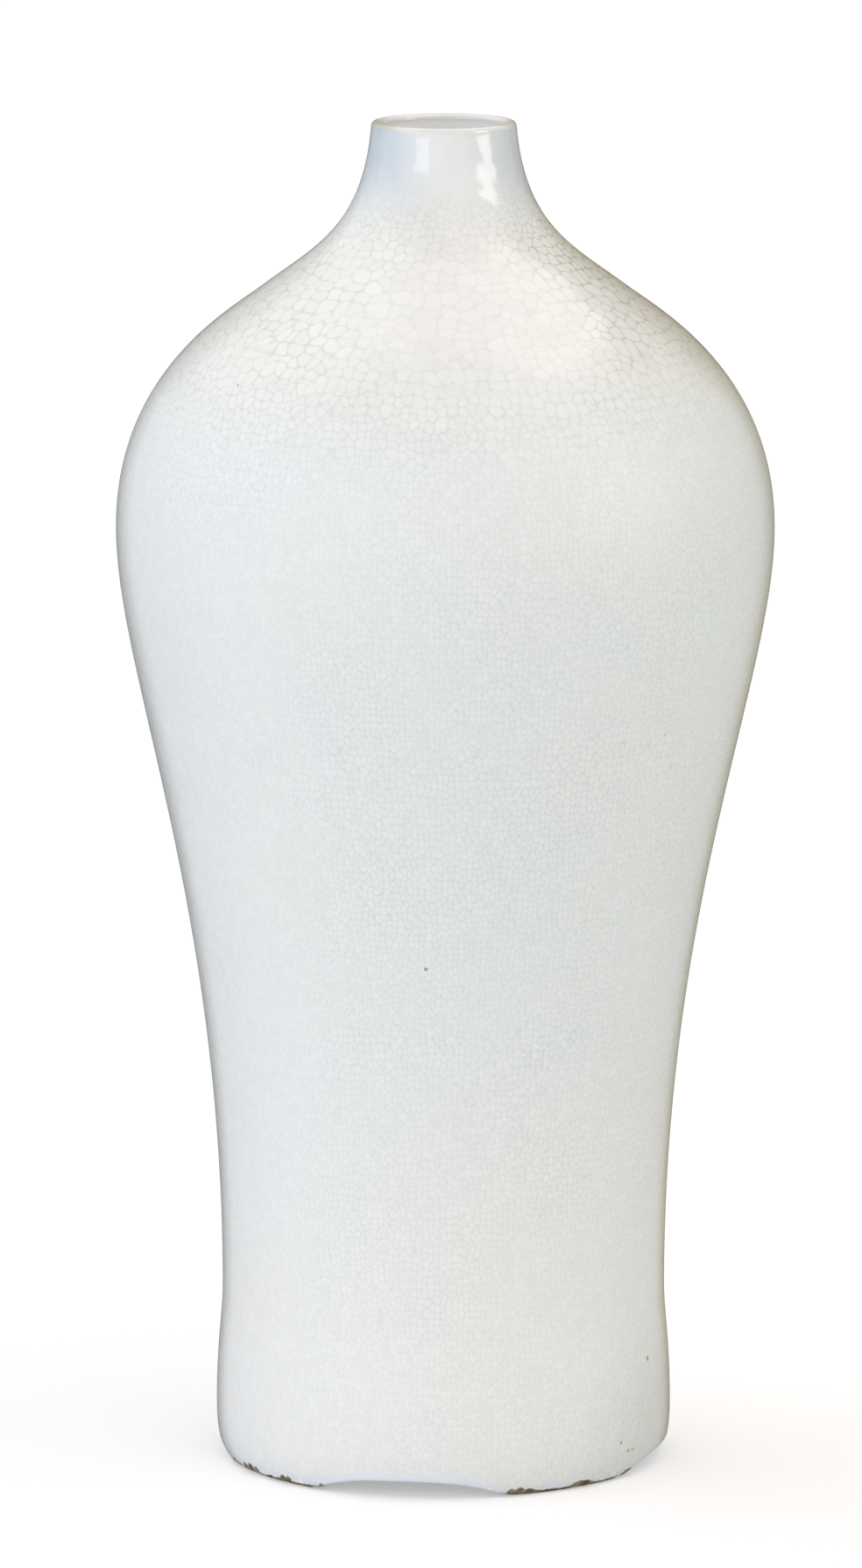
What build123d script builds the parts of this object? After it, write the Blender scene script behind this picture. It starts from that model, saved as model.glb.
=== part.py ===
from build123d import *
import os

# A meiping vase: three thrown sections and a notched foot ring, luted with slip and coated in glaze.
# Millimetres, +Z up. The origin is the centre of the foot, on the surface that the vase stands on.
# The notches of the foot lie on the X and Y axes.

# Finished outline, as radii and as rises from one station to the next
FOOT_RADIUS = 47.5
FOOT_EDGE_SET_IN = 2.1
WAIST_RADIUS = 46.2
BELLY_RADIUS = 68.2
SHOULDER_RADIUS = 38.2
LIP_RADIUS = 15.0
FOOT_RISE = 11.0
WAIST_RISE = 25.0
BODY_RISE = 159.6
SHOULDER_RISE = 49.6
NECK_RISE = 33.7

# How far the outline leans inwards at its sloping stations, in degrees
FOOT_EDGE_LEAN = -30.0
SHOULDER_LEAN = 52.7
LIP_LEAN = 5.0

# Fullness of each stretch: the lower and the upper handle of its curve, as shares of its chord
FOOT_FULLNESS = (0.20, 0.62)
WAIST_FULLNESS = (0.50, 0.24)
BODY_FULLNESS = (0.51, 0.19)
SHOULDER_FULLNESS = (0.55, 0.14)
NECK_FULLNESS = (0.34, 0.52)

# Walls, floor and mouth
GLAZE = 0.5
COAT_CLEARANCE = 0.05
WAIST_WALL = 5.2
BELLY_WALL = 4.2
SHOULDER_WALL = 3.6
FLOOR_THICKNESS = 6.5
FLOOR_CORNER = 9.0
LIP_WALL = 2.2
MOUTH_BORE_LENGTH = 9.0

# Foot ring and its arched notches
FOOT_RING_HEIGHT = 7.0
FOOT_RING_WALL = 7.0
FOOT_RING_DRAFT = 0.8
BARE_EDGE = 0.8
NOTCH_COUNT = 4
NOTCH_WIDTH = 40.0
NOTCH_HEIGHT = 3.5
NOTCH_CREST = 0.67
NOTCH_END_SPREAD = 2.0

# Luted joints: the thickness of the slip, and the lengths of the sections that it joins
SLIP = 0.4
LOWER_SECTION = 110.0
NECK_SECTION = 24.0

# Heights and radii that follow from the sizes above
FOOT_EDGE_RADIUS = FOOT_RADIUS - FOOT_EDGE_SET_IN
WAIST = FOOT_RISE + WAIST_RISE
BELLY = WAIST + BODY_RISE
SHOULDER = BELLY + SHOULDER_RISE
LIP = SHOULDER + NECK_RISE
HEIGHT = LIP + LIP_WALL / 2
ABOVE_LIP = HEIGHT + LIP_WALL
FLOOR_UNDERSIDE = FOOT_RING_HEIGHT + SLIP
FLOOR = FLOOR_UNDERSIDE + FLOOR_THICKNESS
BODY_SEAM = FLOOR_UNDERSIDE + LOWER_SECTION
NECK_SEAM = HEIGHT - NECK_SECTION
BORE_BOTTOM = LIP - MOUTH_BORE_LENGTH
CREST_RADIUS = LIP_RADIUS - LIP_WALL / 2
BORE_RADIUS = LIP_RADIUS - LIP_WALL
CLAY_DEPTH = GLAZE - COAT_CLEARANCE
RING_INNER_LOW = FOOT_EDGE_RADIUS - FOOT_RING_WALL
RING_INNER_HIGH = RING_INNER_LOW - FOOT_RING_DRAFT
CLEAR_RADIUS = 2 * max(BELLY_RADIUS, FOOT_RADIUS, FOOT_EDGE_RADIUS)


def leaning(degrees):
    """The direction that climbs the outline, leaning inwards by this angle."""
    return Vector(0, 1).rotate(Axis.Z, degrees)


def station(radius, height, lean, depth):
    """A point this deep inside the outline, square to it, together with the lean there."""
    inward = leaning(lean + 90)
    return Vector(radius, height) + inward * depth, lean


def curves(stations, fullness):
    """The curves through these stations, each with its handles along the lean at its two ends."""
    chain = []
    for (low, low_lean), (high, high_lean), (low_share, high_share) in zip(stations, stations[1:], fullness):
        chord = (high - low).length
        low_handle = low + leaning(low_lean) * chord * low_share
        high_handle = high - leaning(high_lean) * chord * high_share
        chain.append(Bezier(low, low_handle, high_handle, high))
    return chain


def outside(depth):
    """The outside from the ground to the lip, this deep under the finished outline."""
    stations = [
        (Vector(FOOT_EDGE_RADIUS - depth, 0), FOOT_EDGE_LEAN),
        station(FOOT_RADIUS, FOOT_RISE, 0, depth),
        station(WAIST_RADIUS, WAIST, 0, depth),
        station(BELLY_RADIUS, BELLY, 0, depth),
        station(SHOULDER_RADIUS, SHOULDER, SHOULDER_LEAN, depth),
        (Vector(LIP_RADIUS - depth, LIP), LIP_LEAN),
    ]
    fullness = [FOOT_FULLNESS, WAIST_FULLNESS, BODY_FULLNESS, SHOULDER_FULLNESS, NECK_FULLNESS]
    return curves(stations, fullness)


def cavity(coat):
    """The inside from the middle of the floor to the lip, with this much glaze lying on the clay."""
    floor = FLOOR + coat
    corner = FLOOR_CORNER - coat
    wall_foot = FOOT_RADIUS - GLAZE - WAIST_WALL - coat
    bore = BORE_RADIUS + GLAZE - coat
    stations = [
        (Vector(wall_foot, floor + corner), 0),
        station(WAIST_RADIUS, WAIST, 0, GLAZE + WAIST_WALL + coat),
        station(BELLY_RADIUS, BELLY, 0, GLAZE + BELLY_WALL + coat),
        station(SHOULDER_RADIUS, SHOULDER, SHOULDER_LEAN, GLAZE + SHOULDER_WALL + coat),
        (Vector(bore, BORE_BOTTOM), 0),
    ]
    fullness = [WAIST_FULLNESS, BODY_FULLNESS, SHOULDER_FULLNESS, NECK_FULLNESS]
    floor_line = Line((0, floor), (wall_foot - corner, floor))
    corner_arc = CenterArc((wall_foot - corner, floor + corner), corner, -90, 90)
    collar = Line((bore, BORE_BOTTOM), (bore, LIP))
    return [floor_line, corner_arc, *curves(stations, fullness), collar]


def lip_outer_arc(coat):
    """The outer quarter of the rounded lip, with this much glaze lying on the clay."""
    return CenterArc((CREST_RADIUS, LIP), LIP_WALL / 2 - GLAZE + coat, 0, 90)


def lip_inner_arc(coat):
    """The inner quarter of the rounded lip, with this much glaze lying on the clay."""
    return CenterArc((CREST_RADIUS, LIP), LIP_WALL / 2 - GLAZE + coat, 90, 90)


def crest_line():
    """The line on the lip's crest where the outer and the inner glaze meet."""
    return Line((CREST_RADIUS, HEIGHT - CLAY_DEPTH), (CREST_RADIUS, HEIGHT))


def strip(low, high):
    """The part of the section plane between two heights, from the axis to clear of the vase."""
    return Pos(0, low) * Rectangle(CLEAR_RADIUS, high - low, align=(Align.MIN, Align.MIN))


def clay_section():
    """The whole clay wall and floor, down to the ground, before it is divided into its sections."""
    axis_line = Line((0, 0), (0, FLOOR))
    ground_line = Line((0, 0), (FOOT_EDGE_RADIUS - GLAZE, 0))
    lip = [lip_outer_arc(0), lip_inner_arc(0)]
    return make_face([ground_line, *outside(GLAZE), *lip, *cavity(0), axis_line])


def solid_section():
    """Everything inside the finished outline below the lip, as if the vase were not hollow."""
    axis_line = Line((0, 0), (0, LIP))
    ground_line = Line((0, 0), (FOOT_EDGE_RADIUS, 0))
    lip_line = Line((LIP_RADIUS, LIP), (0, LIP))
    return make_face([ground_line, *outside(0), lip_line, axis_line])


def recess_section():
    """The hollow inside the foot ring and its slip, up to the underside of the floor."""
    corners = [
        (0, 0),
        (RING_INNER_LOW, 0),
        (RING_INNER_HIGH, FOOT_RING_HEIGHT),
        (RING_INNER_HIGH, FLOOR_UNDERSIDE),
        (0, FLOOR_UNDERSIDE),
    ]
    return make_face(Polyline(*corners, close=True))


def outer_glaze_section():
    """The glaze on the outside and over the outer half of the lip, stopping short of the ground."""
    foot_line = Line((FOOT_EDGE_RADIUS - CLAY_DEPTH, 0), (FOOT_EDGE_RADIUS, 0))
    open_side = [*outside(0), lip_outer_arc(GLAZE)]
    clay_side = [*outside(CLAY_DEPTH), lip_outer_arc(COAT_CLEARANCE)]
    return make_face([foot_line, *open_side, crest_line(), *clay_side]) & strip(BARE_EDGE, ABOVE_LIP)


def inner_glaze_section():
    """The glaze on the floor, up the inside and over the inner half of the lip."""
    axis_line = Line((0, FLOOR + COAT_CLEARANCE), (0, FLOOR + GLAZE))
    clay_side = [*cavity(COAT_CLEARANCE), lip_inner_arc(COAT_CLEARANCE)]
    open_side = [*cavity(GLAZE), lip_inner_arc(GLAZE)]
    return make_face([axis_line, *clay_side, crest_line(), *open_side])


def base_glaze_section():
    """The glaze under the floor and down the ring's inner wall, stopping short of the ground."""
    corners = [
        (0, FLOOR_UNDERSIDE - COAT_CLEARANCE),
        (RING_INNER_HIGH - COAT_CLEARANCE, FLOOR_UNDERSIDE - COAT_CLEARANCE),
        (RING_INNER_HIGH - COAT_CLEARANCE, FOOT_RING_HEIGHT),
        (RING_INNER_LOW - COAT_CLEARANCE, 0),
        (RING_INNER_LOW - GLAZE, 0),
        (RING_INNER_HIGH - GLAZE, FLOOR_UNDERSIDE - GLAZE),
        (0, FLOOR_UNDERSIDE - GLAZE),
    ]
    return make_face(Polyline(*corners, close=True)) & strip(BARE_EDGE, ABOVE_LIP)


def turned(section):
    """The solid that a (radius, height) section sweeps round the vase's axis."""
    return revolve(Plane.XZ * section, axis=Axis.Z)


def arches(grow):
    """The notches of the foot as flat-arched bars, larger than the finished notch by this much all round."""
    half = NOTCH_WIDTH / 2 + grow * NOTCH_END_SPREAD
    rise = NOTCH_HEIGHT + grow
    shoulder = half * NOTCH_CREST
    right = Bezier((0, rise), (shoulder / 2, rise), (shoulder, rise), (half, 0))
    left = Bezier((0, rise), (-shoulder / 2, rise), (-shoulder, rise), (-half, 0))
    below = Polyline((half, 0), (half, -rise), (-half, -rise), (-half, 0))
    bar = extrude(Plane.YZ * make_face([right, below, left]), amount=CLEAR_RADIUS)
    return [place * bar for place in PolarLocations(0, NOTCH_COUNT)]


def vase():
    """Every piece of the vase, by name."""
    clay = clay_section()
    ring = (clay & strip(0, FOOT_RING_HEIGHT)) - recess_section()
    rim = (solid_section() & strip(BARE_EDGE, FOOT_RING_HEIGHT)) - recess_section()
    foot_joint = (clay & strip(FOOT_RING_HEIGHT, FLOOR_UNDERSIDE)) - recess_section()
    foot_ring = turned(ring)
    notch_rim = turned(rim)
    outer_glaze = turned(outer_glaze_section())
    base_glaze = turned(base_glaze_section())
    for notch, lining, clay_notch in zip(arches(0), arches(CLAY_DEPTH), arches(GLAZE)):
        foot_ring = foot_ring - clay_notch
        outer_glaze = outer_glaze + (notch_rim & lining) - notch
        base_glaze = base_glaze - notch
    return {
        "foot_ring": foot_ring,
        "foot_slip": turned(foot_joint),
        "lower_body": turned(clay & strip(FLOOR_UNDERSIDE, BODY_SEAM)),
        "body_slip": turned(clay & strip(BODY_SEAM, BODY_SEAM + SLIP)),
        "upper_body": turned(clay & strip(BODY_SEAM + SLIP, NECK_SEAM)),
        "neck_slip": turned(clay & strip(NECK_SEAM, NECK_SEAM + SLIP)),
        "neck": turned(clay & strip(NECK_SEAM + SLIP, ABOVE_LIP)),
        "outer_glaze": outer_glaze,
        "inner_glaze": turned(inner_glaze_section()),
        "base_glaze": base_glaze,
    }


def main():
    """Write every piece to its own STEP file."""
    os.makedirs("parts", exist_ok=True)
    for name, piece in vase().items():
        export_step(piece, f"parts/{name}.step")
    print("height", round(HEIGHT, 2), "mouth bore radius", round(BORE_RADIUS, 2))


if __name__ == "__main__":
    main()
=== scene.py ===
"""The visual model of a meiping vase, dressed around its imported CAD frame.

Blender works in metres, +Z up, and the origin is the centre of the foot on the floor. The sizes of the
vase below are in millimetres, as they are in the part's source, and become metres when a mesh is made.
"""

import logging
import math
from collections.abc import Callable
from dataclasses import dataclass
from enum import Enum

import bpy
import numpy as np
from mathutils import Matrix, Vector


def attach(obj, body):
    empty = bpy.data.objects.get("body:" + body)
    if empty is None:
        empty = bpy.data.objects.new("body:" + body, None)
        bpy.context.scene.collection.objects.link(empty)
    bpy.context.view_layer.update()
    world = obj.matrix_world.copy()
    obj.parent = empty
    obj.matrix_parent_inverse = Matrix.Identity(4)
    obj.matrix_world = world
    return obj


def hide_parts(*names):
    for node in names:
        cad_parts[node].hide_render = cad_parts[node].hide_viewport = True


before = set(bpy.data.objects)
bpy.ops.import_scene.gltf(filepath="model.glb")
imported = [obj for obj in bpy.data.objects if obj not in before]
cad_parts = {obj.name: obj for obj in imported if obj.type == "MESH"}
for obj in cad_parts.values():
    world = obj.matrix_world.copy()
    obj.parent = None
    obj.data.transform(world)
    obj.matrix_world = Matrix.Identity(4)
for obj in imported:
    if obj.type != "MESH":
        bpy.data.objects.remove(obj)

log = logging.getLogger("vase")

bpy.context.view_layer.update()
MM = 0.001
BODY = "root"
CAMERA_AZIMUTH = 9.6
BAKE_UV = "OFBake"
EDGE_ATTRIBUTE = "near_edge"
WRAP_ATTRIBUTE = "wrap"

Socket = bpy.types.NodeSocket
Colour = tuple[float, float, float]
Span = tuple[float, float]
Waves = tuple[int, int]
Level = np.ndarray | float
Ring = tuple[Level, Level]


# Shapes


@dataclass(frozen=True)
class Station:
    """A point of an outline, in millimetres, and how far the outline leans inwards there, in degrees."""

    radius: float
    height: float
    lean: float = 0.0

    def climb(self) -> np.ndarray:
        """The unit direction up the outline."""
        angle = math.radians(self.lean)
        return np.array((-math.sin(angle), math.cos(angle)))

    def inset(self, depth: float) -> "Station":
        """The station this deep inside the outline, square to it."""
        up = self.climb()
        return Station(self.radius - up[1] * depth, self.height + up[0] * depth, self.lean)

    def point(self) -> np.ndarray:
        """The station as a (radius, height) pair."""
        return np.array((self.radius, self.height))


@dataclass(frozen=True)
class Profile:
    """A smooth turned outline through stations, from the lowest to the highest."""

    stations: tuple[Station, ...]
    fullness: tuple[Span, ...]

    def points(self, count: int = 240) -> np.ndarray:
        """Sample every stretch of the outline.

        Args:
            count: How many points each stretch between two stations gets.

        Returns:
            An array of (radius, height) rows from the lowest station to the highest.
        """
        t = np.linspace(0.0, 1.0, count)[:, None]
        left = 1 - t
        stretches = []
        for low, high, shares in zip(self.stations, self.stations[1:], self.fullness):
            start, end = low.point(), high.point()
            chord = np.linalg.norm(end - start)
            near = start + low.climb() * chord * shares[0]
            far = end - high.climb() * chord * shares[1]
            curve = left**3 * start + 3 * t * left**2 * near + 3 * t**2 * left * far + t**3 * end
            stretches.append(curve if not stretches else curve[1:])
        return np.vstack(stretches)

    def radius_at(self, height: Level) -> Level:
        """The outline's radius at these heights."""
        curve = self.points()
        return np.interp(height, curve[:, 1], curve[:, 0])


def spaced(curve: np.ndarray, count: int) -> np.ndarray:
    """Space points evenly along a curve.

    Args:
        curve: Rows of (radius, height) along the curve.
        count: How many points to return, the two ends among them.

    Returns:
        An array of that many (radius, height) rows.
    """
    run = np.concatenate(([0.0], np.cumsum(np.linalg.norm(np.diff(curve, axis=0), axis=1))))
    at = np.linspace(0.0, run[-1], count)
    return np.column_stack((np.interp(at, run, curve[:, 0]), np.interp(at, run, curve[:, 1])))


def offset(curve: np.ndarray, depth: float) -> np.ndarray:
    """Move a curve sideways.

    Args:
        curve: Rows of (radius, height) along the curve.
        depth: How far to move it, to the left of its own direction.

    Returns:
        The moved rows.
    """
    along = np.gradient(curve, axis=0)
    along /= np.linalg.norm(along, axis=1, keepdims=True)
    return curve + depth * np.column_stack((-along[:, 1], along[:, 0]))


def steps(count: int) -> np.ndarray:
    """This many even shares of a stretch, from just after its start to its end."""
    return np.linspace(0.0, 1.0, count + 1)[1:]


def rings_of(section: np.ndarray) -> list[Ring]:
    """The rows of a section as rings."""
    return [tuple(point) for point in section]


def level_rings(radius: Callable[[Level], Level], start: Level, end: Level, count: int) -> list[Ring]:
    """Make rings at even heights on a wall.

    Args:
        radius: Gives the wall's radius at a height.
        start: The height that the rings leave from.
        end: The height of the last ring.
        count: How many rings to make.

    Returns:
        The rings in order, without one at the start.
    """
    heights = [start + (end - start) * share for share in steps(count)]
    return [(radius(height), height) for height in heights]


def arc(centre: Span, radius: float, start: float, end: float, count: int) -> list[Ring]:
    """Make rings along an arc.

    Args:
        centre: The arc's centre, as a radius and a height.
        radius: The arc's own radius.
        start: Where it starts, in degrees above the level outward direction.
        end: Where it ends.
        count: How many rings to make.

    Returns:
        The rings in order.
    """
    turns = np.linspace(math.radians(start), math.radians(end), count)
    return [(centre[0] + radius * math.cos(t), centre[1] + radius * math.sin(t)) for t in turns]


def rounded(start: Ring, corner: Ring, end: Ring, count: int) -> list[Ring]:
    """Round a corner of a section with a curve that leaves its two sides smoothly.

    Args:
        start: Where the rounding leaves the first side.
        corner: Where the two sides would meet.
        end: Where the rounding joins the second side.
        count: How many rings to make after the start, the end among them.

    Returns:
        The rings of the rounding, without its start.
    """
    rings = []
    for t in steps(count):
        weights = ((1 - t) ** 2, 2 * t * (1 - t), t * t)
        rings.append(tuple(sum(w * p[i] for w, p in zip(weights, (start, corner, end))) for i in range(2)))
    return rings


def wander(angle: np.ndarray, seed: int, waves: Waves, count: int = 14) -> np.ndarray:
    """A smooth random line round the vase.

    Args:
        angle: The angles to read it at, in radians.
        seed: Which of the many lines to give.
        waves: The fewest and the most waves round the vase.
        count: How many waves are added together.

    Returns:
        Values that mostly lie between -1 and 1.
    """
    draw = np.random.default_rng(seed)
    numbers = draw.integers(waves[0], waves[1] + 1, count)
    phases = draw.uniform(0.0, math.tau, count)
    total = sum(np.sin(n * angle + p) for n, p in zip(numbers, phases))
    return total / math.sqrt(count)


@dataclass(frozen=True)
class Notches:
    """The flat-arched notches of the foot, centred on the X and Y axes."""

    count: int = 4
    width: float = 40.0
    height: float = 3.5
    end_spread: float = 2.0
    flatness: int = 3

    def rise(self, angle: np.ndarray, radius: Level, grow: float = 0.0) -> np.ndarray:
        """How high the arch stands above the floor.

        Args:
            angle: Angles round the vase, in radians.
            radius: Distances from the vase's axis.
            grow: How much larger the arch is than the finished notch.

        Returns:
            The height of the arch, and 0 between the notches.
        """
        pitch = math.tau / self.count
        across = np.abs(radius * np.sin((angle + pitch / 2) % pitch - pitch / 2))
        half = self.width / 2 + grow * self.end_spread
        return (self.height + grow) * np.clip(1 - (across / half) ** self.flatness, 0.0, None)


@dataclass(frozen=True)
class GlazeLine:
    """The uneven line where the glaze stops above the floor, round the outside of the foot."""

    rest: float = 0.32
    wear: float = 0.34
    most_wear: float = 1.4
    wear_seed: int = 11
    wear_waves: Waves = (9, 34)
    ripple: float = 0.06
    ripple_seed: int = 12
    ripple_waves: Waves = (40, 90)

    def height(self, angle: np.ndarray) -> np.ndarray:
        """Find the height of the line.

        Args:
            angle: Angles round the vase, in radians.

        Returns:
            The height at each of them.
        """
        worn = np.clip(wander(angle, self.wear_seed, self.wear_waves), 0.0, self.most_wear)
        fine = self.ripple * wander(angle, self.ripple_seed, self.ripple_waves)
        return self.rest + self.wear * worn + fine


@dataclass(frozen=True)
class Throwing:
    """What the potter's hands leave on a turned form: it drifts a little sideways on its way up."""

    drift: float = 0.4
    drift_centre: float = 190.0
    drift_span: float = 75.0

    def apply(self, radius: np.ndarray, height: np.ndarray, angle: np.ndarray) -> np.ndarray:
        """Place a grid of rings in space.

        Args:
            radius: The rings' radii, one row per ring and one column per angle.
            height: The rings' heights, in the same shape.
            angle: The angle of each column, in radians.

        Returns:
            An array of rings by columns by XYZ, in millimetres.
        """
        hump = np.exp(-(((height - self.drift_centre) / self.drift_span) ** 2))
        side = math.radians(CAMERA_AZIMUTH)
        x = radius * np.cos(angle) + self.drift * hump * math.cos(side)
        y = radius * np.sin(angle) + self.drift * hump * math.sin(side)
        return np.stack((x, y, height), axis=-1)


FOOT_EDGE = Station(45.4, 0.0, -30.0)
FOOT = Station(47.5, 11.0)
WAIST = Station(46.2, 36.0)
BELLY = Station(68.2, 195.6)
SHOULDER = Station(38.2, 245.2, 52.7)
LIP = Station(15.0, 278.9, 5.0)
LIP_ROUND = 1.1
LIP_CENTRE = (LIP.radius - LIP_ROUND, LIP.height)
FULLNESS = ((0.20, 0.62), (0.50, 0.24), (0.51, 0.19), (0.55, 0.14), (0.34, 0.52))
OUTSIDE = Profile((FOOT_EDGE, FOOT, WAIST, BELLY, SHOULDER, LIP), FULLNESS)
NOTCHES = Notches()
GLAZE_LINE = GlazeLine()
THROWING = Throwing()
RING_TOP = 7.0
RING_INNER = 38.4
RING_DRAFT = 0.8
CENTRE_RADIUS = 0.6


def ring_inner(height: Level) -> Level:
    """The radius of the foot ring's inner wall at these heights."""
    return RING_INNER - RING_DRAFT * height / RING_TOP


def section_steps(radius: np.ndarray, height: np.ndarray) -> np.ndarray:
    """How far each ring of a piece lies from the one before."""
    return np.hypot(np.diff(radius, axis=0), np.diff(height, axis=0)).mean(axis=1)


class Lathe:
    """Makes one mesh from rings of points that run round the vase."""

    SHARP_ANGLE: float = 48.0
    FRONT_END: float = 0.96
    BACK_START: float = 0.965
    BACK_SHARE: float = 0.03
    MAP_END: float = 0.999

    def __init__(self, name: str, columns: int) -> None:
        """Start a piece.

        Args:
            name: The piece's name.
            columns: How many points each ring has.
        """
        self.name = name
        start = math.radians(90.0 + CAMERA_AZIMUTH)
        self.angle = start + np.linspace(0.0, math.tau, columns, endpoint=False)

    def mesh(self, front: list[Ring], back: list[Ring], flat: bool = False) -> bpy.types.Object:
        """Join rings into a mesh object with smooth faces and a map that unrolls it for baking.

        Args:
            front: The rings of the side that shows, in order along the section.
            back: The rings that lead back along the side that lies on the clay.
            flat: Whether the piece is mostly a level disc.

        Returns:
            The new object, linked to the scene.
        """
        rings = front + back
        rows, columns = len(rings), len(self.angle)
        radius = np.array([np.broadcast_to(r, columns) for r, _ in rings], float)
        height = np.array([np.broadcast_to(z, columns) for _, z in rings], float)
        points = THROWING.apply(radius, height, self.angle) * MM
        index = np.arange(rows * columns).reshape(rows, columns)
        upper = np.roll(index, -1, axis=0)
        quads = np.stack((index, np.roll(index, -1, 1), np.roll(upper, -1, 1), upper), axis=-1)
        mesh = bpy.data.meshes.new(self.name)
        mesh.from_pydata(points.reshape(-1, 3).tolist(), [], quads.reshape(-1, 4).tolist())
        mesh.update()
        mesh.shade_smooth()
        mesh.set_sharp_from_angle(angle=math.radians(self.SHARP_ANGLE))
        self.unroll(mesh, radius, height, len(front))
        layer = mesh.attributes.new(WRAP_ATTRIBUTE, "FLOAT_VECTOR", "POINT")
        spread = points / (FOOT.radius * MM) if flat else self.wrapped(radius, height)
        layer.data.foreach_set("vector", spread.astype(np.float32).ravel())
        piece = bpy.data.objects.new(self.name, mesh)
        bpy.context.scene.collection.objects.link(piece)
        return piece

    def wrapped(self, radius: np.ndarray, height: np.ndarray) -> np.ndarray:
        """Unroll the piece so that a pattern on it keeps its shape and shrinks with the radius.

        The way round goes from one side of the vase across the front to the other side, and returns across
        the back, so the pattern meets itself without a seam.

        Args:
            radius: The rings' radii.
            height: The rings' heights.

        Returns:
            For every point the angle round the vase and the angle that the same pattern covers upwards.
        """
        middle = (radius[1:] + radius[:-1]).mean(axis=1) / 2
        upwards = np.cumsum(section_steps(radius, height) / np.maximum(middle, 1.0))
        turn = (np.arange(len(self.angle)) / len(self.angle) - 0.25) % 1.0
        place = np.zeros((*radius.shape, 3))
        place[..., 0] = math.pi * (1 - np.abs(2 * turn - 1))
        place[1:, :, 1] = upwards[:, None]
        return place

    def unroll(self, mesh: bpy.types.Mesh, radius: np.ndarray, height: np.ndarray, shown: int) -> None:
        """Add the map that unrolls the piece, with most of it for the rings that show.

        Args:
            mesh: The mesh to map.
            radius: The rings' radii.
            height: The rings' heights.
            shown: How many of the rings show.
        """
        columns = radius.shape[1]
        run = np.concatenate(([0.0], np.cumsum(section_steps(radius, height))))
        split = run[shown - 1]
        rest = max(run[-1] - split, 1e-6)
        behind = self.BACK_START + self.BACK_SHARE * (run - split) / rest
        level = np.append(np.where(run <= split, self.FRONT_END * run / split, behind), self.MAP_END)
        corners = np.empty(len(mesh.loops), np.int64)
        mesh.loops.foreach_get("vertex_index", corners)
        row, column = np.divmod(corners, columns)
        corner = np.arange(len(corners)) % 4
        u = np.where(((corner == 1) | (corner == 2)) & (column == 0), 1.0, column / columns)
        v = np.where((corner >= 2) & (row == 0), level[-1], level[row])
        layer = mesh.uv_layers.new(name=BAKE_UV)
        layer.data.foreach_set("uv", np.column_stack((u, v)).astype(np.float32).ravel())


# Shader nodes


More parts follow.
